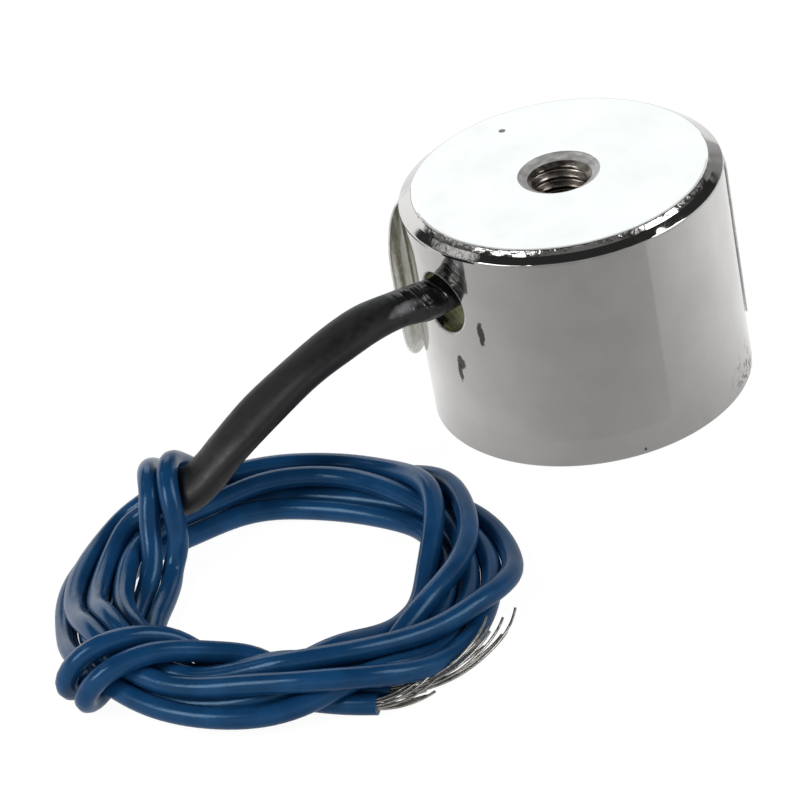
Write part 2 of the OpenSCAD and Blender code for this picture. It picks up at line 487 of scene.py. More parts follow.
@dataclass(frozen=True)
class BlackSleeving:
    """Black shrink tubing: matt along its run, glossy and wrinkled where it is pressed at the hole, with a
    painted highlight streak beside it.
    """

    name: str = "black_sleeve"
    deep: RGBA = (0.0055, 0.0055, 0.006, 1)
    worn: RGBA = (0.013, 0.013, 0.0135, 1)
    # Colour of the painted highlight streak.
    painted_highlight: RGBA = (0.2, 0.2, 0.21, 1)
    pressed_at: Point = (-10.9, 0.0, 11.6)
    pressed_r: float = 2.8
    # Centre of the painted highlight streak.
    painted_highlight_at: Point = (-13.0, -0.6, 11.8)

    def make(self) -> bpy.types.Material:
        """Builds the material."""
        p = Paint(self.name)
        p.put(IOR=1.5, Specular_IOR_Level=0.5)
        base = p.mix(p.scaled(p.noise(0.9, 5), 0.35, 0.75, 0, 1), self.deep, self.worn)
        # Painted highlight: a pale streak along the sleeve beside the hole.
        streak = p.near(self.painted_highlight_at, 1.0, 0.75, (0.72, 2.4, 2.4), p.grain(1.6, 4, -0.25, 0.25))
        p.join(p.mix(streak, base, self.painted_highlight), "Base Color")
        pressed = p.near(self.pressed_at, self.pressed_r, 0.5)
        p.join(p.math("SUBTRACT", p.grain(2.0, 5, 0.38, 0.54), p.times(pressed, 0.3)), "Roughness")
        wrinkle = p.times(pressed, p.noise(1.0, 2, p.place(scale=(2.3, 0.25, 0.25))))
        p.bump((p.noise(0.8, 3), 0.02), (p.noise(7.0, 4), 0.004), (wrinkle, 0.26))
        return p.material


@dataclass(frozen=True)
class LabelFilm:
    """One side of the label's film, with streaks that run up and down it; the adhesive side is also darker
    towards the top, paler towards the bottom and has a painted highlight on its flap.
    """

    name: str = "label_film"
    light: RGBA = (0.82, 0.82, 0.80, 1)
    brown: RGBA = (0.60, 0.59, 0.56, 1)
    rough: tuple[float, float] = (0.14, 0.3)
    # Strength of the darker top, the paler bottom and the painted highlight.
    tones_and_highlight: float = 0.0
    grey: RGBA = (0.07, 0.07, 0.07, 1)
    greys: tuple[float, float] = (10.8, 13.0)
    pales: tuple[float, float] = (4.0, 7.5)
    # Centre of the painted highlight on the flap.
    film_highlight_at: Point = (-7.4, 7.1, 10.4)

    def make(self) -> bpy.types.Material:
        """Builds the material."""
        p = Paint(self.name)
        p.put(IOR=1.5, Coat_Weight=0.6, Coat_Roughness=0.06, Subsurface_Weight=1.0,
              Subsurface_Scale=0.6 * MM, Subsurface_Radius=(1.0, 1.0, 0.9))
        streak = p.noise(1.0, 4, p.place(scale=(0.75, 0.75, 0.1)))
        colour = p.mix(p.scaled(streak, 0.4, 0.62, 0, 1), self.light, self.brown)
        # Darker towards the top and paler towards the bottom.
        colour = p.mix(p.scaled(p.height(), *self.greys, 0, 0.6 * self.tones_and_highlight), colour, self.grey)
        colour = p.mix(p.scaled(p.height(), *self.pales, 0.75 * self.tones_and_highlight, 0), colour, self.light)
        ragged = p.scaled(streak, *NOISE_RANGE, -0.3, 0.3)
        # Painted highlight: a pale patch on the flap.
        pale = p.near(self.film_highlight_at, 1.0, 0.6, (1.4, 1.4, 0.36), ragged)
        p.join(p.mix(p.times(pale, 0.8 * self.tones_and_highlight), colour, self.light), "Base Color")
        p.join(p.grain(0.9, 4, *self.rough), "Roughness")
        p.bump((streak, 0.05), (p.noise(0.5, 3), 0.06))
        return p.material


@dataclass(frozen=True)
class CastFinish:
    """A plain cast or drawn finish: two mixed colours, a roughness range and a fine bump."""

    name: str
    first: RGBA
    second: RGBA
    cells: float = 1.0
    rough: tuple[float, float] = (0.3, 0.5)
    metallic: float = 0.0
    depth: float = 0.01
    stretch: Point = (1, 1, 1)

    def make(self) -> bpy.types.Material:
        """Builds the material."""
        p = Paint(self.name)
        p.put(Metallic=self.metallic)
        grain = p.noise(self.cells, 5, p.place(scale=self.stretch))
        p.join(p.mix(p.scaled(grain, 0.35, 0.68, 0, 1), self.first, self.second), "Base Color")
        p.join(p.scaled(grain, *NOISE_RANGE, *self.rough), "Roughness")
        p.bump((grain, self.depth))
        return p.material


# The adhesive side, with the darker top, paler bottom and painted highlight at full strength.
ADHESIVE = LabelFilm("label_adhesive", (0.90, 0.90, 0.87, 1), (0.17, 0.16, 0.135, 1), (0.2, 0.35), 1.0)
RESIN = CastFinish("resin", (0.19, 0.19, 0.08, 1), (0.42, 0.41, 0.22, 1), 1.2, (0.15, 0.35), 0.0, 0.08)
MACHINED = CastFinish("machined_steel", (0.55, 0.54, 0.53, 1), (0.82, 0.81, 0.80, 1), 1.4, (0.36, 0.5), 0.5,
                      0.02, (1, 1, 6))
NYLON = CastFinish("nylon", (0.80, 0.78, 0.70, 1), (0.70, 0.68, 0.60, 1), 2.0, (0.35, 0.5))
COPPER = CastFinish("copper", (0.45, 0.16, 0.06, 1), (0.62, 0.27, 0.12, 1), 1.0, (0.2, 0.35), 1.0, 0.03,
                    (0.2, 0.2, 8))
TAPE = CastFinish("tape", (0.62, 0.42, 0.06, 1), (0.72, 0.52, 0.12, 1), 0.8, (0.2, 0.35))
SOLDER = CastFinish("solder", (0.55, 0.55, 0.56, 1), (0.70, 0.70, 0.71, 1), 3.0, (0.25, 0.45), 1.0)
TINNED = CastFinish("tinned_strands", (0.33, 0.32, 0.29, 1), (0.62, 0.60, 0.56, 1), 2.5, (0.22, 0.4), 1.0,
                    0.01)


# The view and the studio


@dataclass(frozen=True)
class Viewpoint:
    """The photograph's camera."""

    place: Point = (-132.101, -199.583, 147.346)
    target: Point = (-10.049, 6.831, 0.746)
    roll_deg: float = -11.031
    lens: float = 201.98
    sensor: float = 36.0
    clip_m: tuple[float, float] = (0.01, 20.0)

    def build(self) -> bpy.types.Object:
        """Makes the camera and gives it to the scene."""
        data = bpy.data.cameras.new("photo_view")
        data.lens, data.sensor_width, data.sensor_fit = self.lens, self.sensor, "HORIZONTAL"
        data.clip_start, data.clip_end = self.clip_m
        camera = bpy.data.objects.new("photo_view", data)
        bpy.context.scene.collection.objects.link(camera)
        eye, aim = Vector(self.place) * MM, Vector(self.target) * MM
        ahead = (aim - eye).normalized()
        level = ahead.cross(Vector((0, 0, 1))).normalized()
        upright = level.cross(ahead)
        c, s = math.cos(math.radians(self.roll_deg)), math.sin(math.radians(self.roll_deg))
        right, up = level * c + upright * s, upright * c - level * s
        turn = Matrix((right, up, -ahead)).transposed().to_4x4()
        camera.matrix_world = Matrix.Translation(eye) @ turn
        bpy.context.scene.camera = camera
        return camera


@dataclass(frozen=True)
class Softbox:
    """One soft light that faces the magnet.

    Attributes:
        name: The light's name.
        turn: Direction to it, counted from the back light's, in degrees.
        elevation: Its height above the horizon, in degrees.
        distance: How far off it stands, in millimetres.
        size: Its width and height, in millimetres.
        power: Its power in watts.
        colour: Its colour.
    """

    name: str
    turn: float
    elevation: float
    distance: float
    size: tuple[float, float]
    power: float
    colour: Point = (1, 1, 1)

    def build(self, back_azimuth: float) -> None:
        """Makes the light, given the back light's direction from +X in degrees."""
        data = bpy.data.lights.new(self.name, "AREA")
        data.shape, data.size, data.size_y = "RECTANGLE", self.size[0] * MM, self.size[1] * MM
        data.energy, data.color = self.power, self.colour
        light = bpy.data.objects.new(self.name, data)
        a, e = math.radians(back_azimuth + self.turn), math.radians(self.elevation)
        away = Vector((math.cos(e) * math.cos(a), math.cos(e) * math.sin(a), math.sin(e)))
        light.location = away * self.distance * MM
        light.rotation_euler = away.to_track_quat("Z", "Y").to_euler()
        light.visible_camera = False
        bpy.context.scene.collection.objects.link(light)


@dataclass(frozen=True)
class Glow:
    """A bright side of the surroundings.

    Attributes:
        turn: Its direction, counted from the back light's, in degrees.
        sides: Cosines off that direction between which it grows, and its strength at both.
        heights: Sines of the elevations between which it fades.
    """

    turn: float
    sides: tuple[float, float, float, float]
    heights: tuple[float, float]


@dataclass
class Studio:
    """White floor, a reflector card, five soft lights and surroundings that are dark overhead."""

    floor_half: float = 1500.0
    floor_gap: float = 0.02
    floor_colour: RGBA = (0.13, 0.13, 0.13, 1)
    floor_seen: float = 0.95
    floor_behind: float = 0.95
    floor_before: float = 0.37
    floor_dims_from: float = -0.2
    card_r: float = 13.0
    card_h: float = 14.4
    card_span: tuple[int, int] = (134, 270)
    window_h: float = 9.8
    window_at: float = 178.0
    window_half: float = 6.5
    ceiling: float = 0.04
    back_azimuth: float = 59.4
    glows: tuple[Glow, ...] = (Glow(35.0, (0.35, 0.95, 0.35, 1.5), (0.31, 0.40)),
                               Glow(180.0, (-0.3, 0.3, 0.0, 0.55), (0.45, 0.65)))
    lights: tuple[Softbox, ...] = (
        Softbox("back_light", 0.0, 32.0, 700.0, (360.0, 270.0), 0.54, (0.93, 0.985, 1.0)),
        Softbox("swirl_light", 63.0, 47.0, 600.0, (120.0, 120.0), 0.06),
        Softbox("front_light", 178.0, 48.0, 900.0, (800.0, 500.0), 0.2),
        Softbox("left_light", 118.0, 40.0, 600.0, (200.0, 260.0), 1.3),
        Softbox("right_light", -105.0, 38.0, 600.0, (240.0, 300.0), 1.1))

    def build(self) -> None:
        """Makes the floor, the lights, the surroundings and the picture's tone."""
        scene = bpy.context.scene
        scene.view_settings.view_transform = "Standard"
        scene.view_settings.look = "None"
        scene.view_settings.exposure, scene.view_settings.gamma = 0.0, 1.0
        self._floor()
        self._surroundings(scene)
        for light in self.lights:
            light.build(self.back_azimuth)

    def _floor(self) -> None:
        """Makes the floor, and a reflector card that keeps the leads out of the wall's reflections."""
        h, low = self.floor_half, -self.floor_gap
        corners = np.array([[-h, -h, low], [h, -h, low], [h, h, low], [-h, h, low]])
        floor = mesh_object("floor", corners, [[0, 1, 2, 3]], Shading.FLAT)
        turns = np.arange(*self.card_span)
        count = len(turns)
        tops = np.where(np.abs(turns - self.window_at) < self.window_half, self.window_h, self.card_h)
        x, y = self.card_r * np.cos(np.radians(turns)), self.card_r * np.sin(np.radians(turns))
        edges = [np.stack([x, y, z], axis=1) for z in (np.zeros(count), tops)]
        faces = [[k, k + 1, k + 1 + count, k + count] for k in range(count - 1)]
        card = mesh_object("reflector_card", np.vstack(edges), faces, Shading.FLAT)
        pale = self._pale()
        for piece in (floor, card):
            piece.data.materials.append(pale)
        card.visible_camera = card.visible_diffuse = card.visible_shadow = card.visible_transmission = False

    def _pale(self) -> bpy.types.Material:
        """The floor's finish: pale, evenly lit, dimmer on the camera's side where the wall mirrors it."""
        p = Paint("floor")
        p.put(Base_Color=self.floor_colour, Roughness=0.9, Specular_IOR_Level=0.0,
              Emission_Color=(1, 1, 1, 1))
        level = p.add("ShaderNodeVectorMath", "NORMALIZE")
        p.feed(level.inputs[0], p.place(scale=(1, 1, 0)))
        before = p.facing(level.outputs["Vector"], self.back_azimuth + 180)
        dim = p.scaled(before, self.floor_dims_from, 1.0, self.floor_behind, self.floor_before)
        seen = p.add("ShaderNodeLightPath").outputs["Is Camera Ray"]
        more = p.math("SUBTRACT", self.floor_seen, dim)
        p.join(p.math("MULTIPLY_ADD", seen, more, dim), "Emission Strength")
        return p.material

    def _surroundings(self, scene: bpy.types.Scene) -> None:
        """Lights the surroundings: bright low down behind the magnet, softer in front, dark overhead."""
        world = bpy.data.worlds.new("studio")
        world.use_nodes = True
        sky = Nodes(world.node_tree)
        way, split = sky.add("ShaderNodeTexCoord").outputs["Generated"], sky.add("ShaderNodeSeparateXYZ")
        sky.feed(split.inputs[0], way)
        total: object = self.ceiling
        for glow in self.glows:
            side = sky.scaled(sky.facing(way, self.back_azimuth + glow.turn), *glow.sides)
            low = sky.scaled(split.outputs["Z"], *glow.heights, 1, 0)
            total = sky.math("MULTIPLY_ADD", side, low, total)
        back, out = sky.add("ShaderNodeBackground"), sky.add("ShaderNodeOutputWorld")
        sky.feed(back.inputs["Strength"], total)
        sky.feed(out.inputs["Surface"], back.outputs["Background"])
        scene.world = world


# Pieces of the magnet


@dataclass
class PotBody:
    """The turned steel pot with its centre pole, tapped bore and lead hole."""

    body_r: float = 10.0
    body_h: float = 15.0
    bevel_w: float = 0.85
    bevel_h: float = 0.6
    foot_break: float = 0.2
    groove_r: float = 8.5
    pole_r: float = 4.5
    groove_z: float = 12.6
    tap_r: float = 1.65
    thread_r: float = 2.0
    pitch: float = 0.7
    tap_depth: float = 7.0
    drill_point: float = 0.99
    sink_r: float = 2.55
    sink_h: float = 0.52
    exit_r: float = 2.0
    exit_z: float = 10.5
    exit_break: float = 0.15
    edge: float = 0.07
    patch_half: float = 3.0
    patch_cells: int = 20
    columns: int = 150
    drill_rings: tuple[float, ...] = (0.0, 0.6, 1.2)
    thread_rows: int = 120
    thread_fade: float = 0.8
    sink_shares: tuple[float, float, int] = (0.05, 0.88, 18)
    face_rings: tuple[float, ...] = (3.5, 5.0, 6.5, 8.0)
    bevel_shares: tuple[float, ...] = (0.25, 0.5, 0.75)
    wall_rings: tuple[float, ...] = (5.5, 3.5, 2.0, 1.0, 0.45)
    foot_edge: float = 0.04
    hole_shares: tuple[float, ...] = (1, 0.82, 0.62, 0.42, 0.24, 0.1, 0.03, 0)
    hole_rounds: int = 5
    points: list = field(default_factory=list)
    faces: list = field(default_factory=list)

    def build(self) -> bpy.types.Object:
        """Builds the pot as one closed mesh that stands for its CAD node."""
        angles = self._angles()
        rows = self._bore_rows() + self._top_rows() + self._side_rows() + self._under_rows()
        rings = [self._ring(row, angles) for row in rows]
        for k in range(len(rows) - 1):
            holed = rows[k][2] is rows[k + 1][2] and rows[k][2] in (Zone.WALL, Zone.GROOVE)
            self._strip(rings[k], rings[k + 1], self.patch_cells if holed else 0)
        self._lead_hole(angles)
        obj = mesh_object("pot_shell", np.array(self.points), self.faces, sharp_deg=50.0)
        finishes = {Coat.PLATED: PlatedSteel(), Coat.TAPPED: TappedSteel(), Coat.MACHINED: MACHINED}
        for coat in Coat:
            obj.data.materials.append(finishes[coat].make())
        self._paint_bore(obj)
        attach(obj, BODY)
        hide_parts("pot_body")
        return obj

    def _angles(self) -> np.ndarray:
        """Angles of the columns, counted from -X: even over the lead hole's patch and round the rest."""
        half = math.asin(self.patch_half / self.body_r)
        patch = np.linspace(-half, half, self.patch_cells + 1)
        rest = np.linspace(half, 2 * math.pi - half, self.columns + 1)[1:-1]
        return np.concatenate([patch, rest])

    def _patch_ends(self) -> tuple[float, float]:
        """Lower and upper height of the lead hole's patch."""
        return self.exit_z - self.patch_half, self.exit_z + self.patch_half

    def _bore_rows(self) -> list[Row]:
        """Rings of the drill point, the tapped bore and the countersink."""
        top, floor = self.body_h, self.body_h - self.tap_depth
        cone = self.sink_r - self.tap_r
        rows = [(r, floor - self.drill_point * (1 - r / self.tap_r)) for r in self.drill_rings]
        rows += [(self.tap_r, z) for z in np.linspace(floor, top - self.sink_h, self.thread_rows)]
        rows += [(self.tap_r + cone * t, top - self.sink_h * (1 - t)) for t in np.linspace(*self.sink_shares)]
        return [(r, z, Zone.BORE) for r, z in rows]

    def _top_rows(self) -> list[Row]:
        """Rings of the countersink's edge, the flat top, the bevel and the wall's upper edge."""
        top, cone = self.body_h, self.sink_r - self.tap_r
        run = math.hypot(cone, self.sink_h)
        back = (-cone / run, -self.sink_h / run)
        rows = self._corner((self.sink_r, top), back, (1, 0), self.edge, Zone.FACE)
        rim = self.body_r - self.bevel_w
        flat = (self.sink_r + 0.25, *self.face_rings, rim - 0.3, rim - 0.05)
        rows += [(r, top, Zone.FACE) for r in flat]
        slope = math.hypot(self.bevel_w, self.bevel_h)
        across, down = self.bevel_w / slope, self.bevel_h / slope
        steps = (0.0, 0.05, *(slope * t for t in self.bevel_shares))
        rows += [(rim + across * s, top - down * s, Zone.BEVEL) for s in steps]
        shoulder = top - self.bevel_h
        rows += self._corner((self.body_r, shoulder), (-across, down), (0, -1), self.edge, Zone.BEVEL)
        return rows + [(self.body_r, shoulder - 0.25, Zone.BEVEL)]

    def _side_rows(self) -> list[Row]:
        """Rings of the wall and of the broken edge at its foot."""
        low, high = self._patch_ends()
        rows = [(self.body_r, z, Zone.WALL) for z in np.linspace(high, low, self.patch_cells + 1)]
        rows += [(self.body_r, z, Zone.FOOT) for z in self.wall_rings]
        slant, size = math.sqrt(0.5), self.foot_edge
        rows += self._corner((self.body_r, self.foot_break), (0, 1), (-slant, -slant), size, Zone.FOOT)
        rows += self._corner((self.body_r - self.foot_break, 0), (slant, slant), (-1, 0), size, Zone.FOOT)
        return rows

    def _under_rows(self) -> list[Row]:
        """Rings of the holding face's rim, the groove and the pole."""
        rim = ((9.0, 0.0), (self.groove_r, 0.0), (self.groove_r, 3.0))
        wall = np.linspace(self._patch_ends()[0], self.groove_z, self.patch_cells + 1)
        pole = ((6.5, self.groove_z), (self.pole_r, self.groove_z), (self.pole_r, 6.0), (self.pole_r, 0.0),
                (2.2, 0.0), (0.0, 0.0))
        rows = [(r, z, Zone.FOOT) for r, z in rim]
        rows += [(self.groove_r, z, Zone.GROOVE) for z in wall]
        return rows + [(r, z, Zone.POLE) for r, z in pole]

    @staticmethod
    def _corner(at: tuple[float, float], back: tuple[float, float], on: tuple[float, float], size: float,
                zone: Zone) -> list[Row]:
        """Rounds one corner of the profile.

        Args:
            at: The corner.
            back: Direction from the corner back along the profile.
            on: Direction from the corner on along the profile.
            size: How far the rounding reaches along each side.
            zone: The zone of the points.

        Returns:
            Points of the rounding, with one more on each side to hold the faces flat.
        """
        p, a, b = np.array(at), np.array(back), np.array(on)
        out = [p + a * size * 1.6]
        for t in np.linspace(0, 1, 5):
            out.append((1 - t) ** 2 * (p + a * size) + 2 * t * (1 - t) * p + t**2 * (p + b * size))
        out.append(p + b * size * 1.6)
        return [(float(q[0]), float(q[1]), zone) for q in out]

    def _ring(self, row: Row, angles: np.ndarray) -> np.ndarray:
        """Points of one ring; in the bore the thread sets their radius."""
        r, z, zone = row
        radii = np.full(len(angles), r)
        floor = self.body_h - self.tap_depth
        if zone is Zone.BORE and z > floor:
            turn = (z / self.pitch + angles / (2 * math.pi)) % 1.0
            tooth = np.clip(1.15 * (1 - np.abs(2 * turn - 1)) - 0.1, 0, 0.9) / 0.9
            fade = min(1.0, (z - floor) / self.thread_fade)
            radii = np.maximum(radii, self.tap_r + (self.thread_r - self.tap_r) * tooth * fade)
        return np.stack([-radii * np.cos(angles), radii * np.sin(angles), np.full(len(angles), z)], axis=1)

    def _strip(self, low: np.ndarray, high: np.ndarray, first: int = 0) -> None:
        """Adds two closed rings of points and the faces between them, from one column on."""
        start, count = len(self.points), len(low)
        self.points += [*low, *high]
        self.faces += ring_faces(start, start + count, count, first)

    def _square(self, angles: np.ndarray, z0: float, z1: float) -> list[tuple[float, float]]:
        """Angle and height of the points round the patch's edge."""
        a = angles[: self.patch_cells + 1]
        z = np.linspace(z0, z1, self.patch_cells + 1)
        edge = [(x, z[0]) for x in a[:-1]] + [(a[-1], y) for y in z[:-1]]
        return edge + [(x, z[-1]) for x in a[:0:-1]] + [(a[0], y) for y in z[:0:-1]]

    def _lead_hole(self, angles: np.ndarray) -> None:
        """Adds the wall round the lead hole, the hole's rounded edge and its bore."""
        low, high = self._patch_ends()
        outer = self._square(angles, low, high)
        inner = self._square(angles, low, self.groove_z)
        turns = [math.atan2(z - self.exit_z, self.body_r * math.sin(a)) for a, z in outer]
        wide = self.exit_r + self.exit_break
        loops = [self._on_wall(outer, turns, wide, self.body_r, t) for t in self.hole_shares]
        for s in np.linspace(0, math.pi / 2, self.hole_rounds + 1)[1:]:
            r, sunk = wide - self.exit_break * math.sin(s), self.exit_break * (1 - math.cos(s))
            loops.append([(sunk - math.sqrt(self.body_r**2 - (r * math.cos(f))**2), r * math.cos(f),
                           self.exit_z + r * math.sin(f)) for f in turns])
        loops += [self._on_wall(inner, turns, self.exit_r, self.groove_r, t) for t in (0, 0.5, 1)]
        for near, far in zip(loops[:-1], loops[1:]):
            self._strip(near, far)

    def _on_wall(self, edge: list[tuple[float, float]], turns: list[float], r: float, wall: float,
                 share: float) -> list[Point]:
        """A loop of points on a round wall, share of the way from the hole's circle to the patch's edge."""
        out = []
        for (a, z), f in zip(edge, turns):
            a0, z0 = math.asin(r * math.cos(f) / wall), self.exit_z + r * math.sin(f)
            at, height = a0 + (a - a0) * share, z0 + (z - z0) * share
            out.append((-wall * math.cos(at), wall * math.sin(at), height))
        return out

    def _paint_bore(self, obj: bpy.types.Object) -> None:
        """Gives the faces in the bore the tapped finish, and two cut edges the machined one."""
        floor = self.body_h - self.tap_depth - self.drill_point - 0.01
        for face in obj.data.polygons:
            x, y, z = face.center / MM
            out, off_hole = math.hypot(x, y), math.hypot(y, z - self.exit_z)
            if out < self.thread_r + 0.02 and floor < z < self.body_h - 0.2:
                face.material_index = Coat.TAPPED
            elif out < self.sink_r and z > self.body_h - self.sink_h:
                face.material_index = Coat.MACHINED
            elif x < 0 and self.exit_r < off_hole < self.exit_r + self.exit_break:
                face.material_index = Coat.MACHINED


@dataclass
class Label:
    """The blank film glued round the back of the wall, with one end standing off."""

    inner_r: float = 10.02
    thick: float = 0.12
    low: float = 3.4
    high: float = 13.7
    start_deg: float = -37.0
    arc_deg: float = 159.0
    flap: float = 5.6
    corner: float = 3.0
    curl: float = 0.014
    wall_columns: int = 90
    flap_columns: int = 40
    film_rows: int = 33

    def build(self) -> bpy.types.Object:
        """Builds the film as a thin closed sheet that stands for its CAD node."""
        arc = math.radians(self.arc_deg) * self.inner_r
        on_flap = np.linspace(arc, arc + self.flap, self.flap_columns)[1:]
        along = np.concatenate([np.linspace(0, arc, self.wall_columns), on_flap])
        across = np.linspace(-1, 1, self.film_rows)
        half = (self.high - self.low) / 2
        middle = (self.high + self.low) / 2
        faces, points = [], []
        for side in (0.0, self.thick):
            for s in along:
                reach = self._half_height(s, arc + self.flap, half)
                x, y, nx, ny = self._plan(s, arc)
                points += [(x + nx * side, y + ny * side, middle + reach * v) for v in across]
        rows, cols = len(along), len(across)
        for base, turn in ((0, 1), (rows * cols, -1)):
            for i in range(rows - 1):
                for j in range(cols - 1):
                    q = base + i * cols + j
                    faces.append([q, q + cols, q + cols + 1, q + 1][::turn])
        rim = [i * cols for i in range(rows)] + [(rows - 1) * cols + j for j in range(1, cols)]
        rim += [i * cols + cols - 1 for i in range(rows - 2, -1, -1)] + [j for j in range(cols - 2, 0, -1)]
        for a, b in zip(rim, rim[1:] + rim[:1]):
            faces.append([a, b, b + rows * cols, a + rows * cols])
        obj = mesh_object("label_film", np.array(points), faces)
        obj.data.materials.append(LabelFilm().make())
        obj.data.materials.append(ADHESIVE.make())
        for face in obj.data.polygons:
            face.material_index = int(self._faces_in(face))
        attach(obj, BODY)
        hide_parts("label")
        return obj

    @staticmethod
    def _faces_in(face: bpy.types.MeshPolygon) -> bool:
        """Whether a face of the film looks towards the magnet's axis."""
        return face.normal.x * face.center.x + face.normal.y * face.center.y < -0.3 * face.center.length

    def _half_height(self, s: float, end: float, half: float) -> float:
        """Half the film's height at a distance along it, with round corners at the loose end."""
        past = s - (end - self.corner)
        if past <= 0:
            return half
        return half - self.corner + math.sqrt(max(self.corner**2 - past**2, 0.0))

    def _plan(self, s: float, arc: float) -> tuple[float, float, float, float]:
        """Place and outward direction of the film's inner face at a distance along it."""
        r = self.inner_r
        turn = math.radians(self.start_deg) + min(s, arc) / r
        x, y = r * math.cos(turn), r * math.sin(turn)
        rest = s - arc
        if rest > 0:
            bend = self.curl * rest
            x -= math.sin(turn + bend) * rest
            y += math.cos(turn + bend) * rest
            turn += 2 * bend
        return x, y, math.cos(turn), math.sin(turn)


@dataclass(frozen=True)
class Ripple:
    """Folds round a tube that wind as they run along it.

    Attributes:
        depth: Their depth, as a share of the tube's reach.
        folds: How many there are round the tube.
        twist: How far they wind, in radians a millimetre.
        start: Where they begin, in radians.
    """

    depth: float
    folds: int
    twist: float
    start: float = 0.0

    def at(self, run: float, turns: np.ndarray) -> np.ndarray:
        """The folds' reach round the tube, at a distance along it."""
        return self.depth * np.sin(self.folds * turns + self.twist * run + self.start)


@dataclass
class LeadSleeve:
    """The flattened shrink tube over both leads, creased where it leaves the hole."""

    half_wide: float = 1.52
    half_high: float = 0.85
    upright: Point = (-1.0, 0.0, 1.0)
    route: tuple[Point, ...] = (
        (-8.8, 0, 11.1), (-10.6, 0, 11.1), (-12.9, 0.4, 11.3), (-15, 0.9, 11.1), (-17, 1.3, 10.5),
        (-19, 1.7, 9.7), (-21, 2.1, 8.7), (-23, 2.5, 7.6), (-25, 2.9, 6.3), (-26.1, 3.3, 5.3),
        (-27.1, 3.8, 4.5), (-28, 4.7, 3.9), (-28.6, 5.2, 3.6))
    spacing: float = 0.12
    sides: int = 48
    squareness: float = 0.85
    crease_at: float = 2.2
    crease_run: float = 1.1
    creases: tuple[Ripple, ...] = (Ripple(0.035, 5, 2.1, math.pi / 2), Ripple(0.02, 9, -3.0))
    slack: tuple[Ripple, ...] = (Ripple(0.025, 2, 0.9), Ripple(0.02, 3, -0.5))
    waist_at: float = 4.4
    waist_run: float = 1.6
    waist: float = 0.10

    def middle(self) -> np.ndarray:
        """The line that the sleeve's middle follows."""
        return smooth_line(np.array(self.route), self.spacing)

    def frames(self, line: np.ndarray) -> tuple[np.ndarray, np.ndarray]:
        """Sideways and upward directions of the section along a line."""
        ahead = headings(line)
        side = unit_rows(np.cross(ahead, np.array(self.upright)))
        return side, np.cross(side, ahead)

    def build(self) -> bpy.types.Object:
        """Builds the sleeve as a closed mesh that stands for its CAD node."""
        line = self.middle()
        side, up = self.frames(line)
        turns = np.linspace(0, 2 * math.pi, self.sides, endpoint=False)
        points, faces, n = [], [], self.sides
        for k, run in enumerate(np.linspace(0, length_of(line), len(line))):
            wide, high = self._section(run, turns)
            points += (line[k] + np.outer(wide, side[k]) + np.outer(high, up[k])).tolist()
        last = len(line) - 1
        for k in range(last):
            faces += ring_faces(k * n, (k + 1) * n, n)
        faces += [list(range(n))[::-1], [last * n + j for j in range(n)]]
        obj = mesh_object("lead_sleeve_tube", np.array(points), faces, sharp_deg=60.0)
        obj.data.materials.append(BlackSleeving().make())
        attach(obj, BODY)
        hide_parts("lead_sleeve")
        return obj

    def _section(self, run: float, turns: np.ndarray) -> tuple[np.ndarray, np.ndarray]:
        """Sideways and upward reach of the section at a distance along the sleeve."""
        crease = math.exp(-((run - self.crease_at) / self.crease_run) ** 2)
        folds, slack = (sum(r.at(run, turns) for r in kind) for kind in (self.creases, self.slack))
        grow = 1 + crease * folds + slack
        narrow = 1 - self.waist * math.exp(-((run - self.waist_at) / self.waist_run) ** 2)
        c, s = (np.sign(v) * np.abs(v) ** self.squareness for v in (np.cos(turns), np.sin(turns)))
        return self.half_wide * narrow * grow * c, self.half_high * grow * s


@dataclass(frozen=True)
class Bell:
    """A change that is greatest at one angle of the ring and fades on both sides of it.

    Attributes:
        angle: Where it is greatest, in degrees.
        width: How far off it has faded to about a third, in degrees.
        size: Its greatest size, in millimetres.
    """

    angle: float
    width: float
    size: float

    def at(self, angle: float) -> float:
        """The change at an angle."""
        off = (angle - self.angle + 180) % 360 - 180
        return self.size * math.exp(-(off / self.width) ** 2)


@dataclass(frozen=True)
class Stretch:
    """Some of a lead's stations, one after the other, and how they are fitted.

    A station is an angle round the ring in degrees, a radius and a height.
    """

    lay: Lay
    stations: tuple[Point, ...]


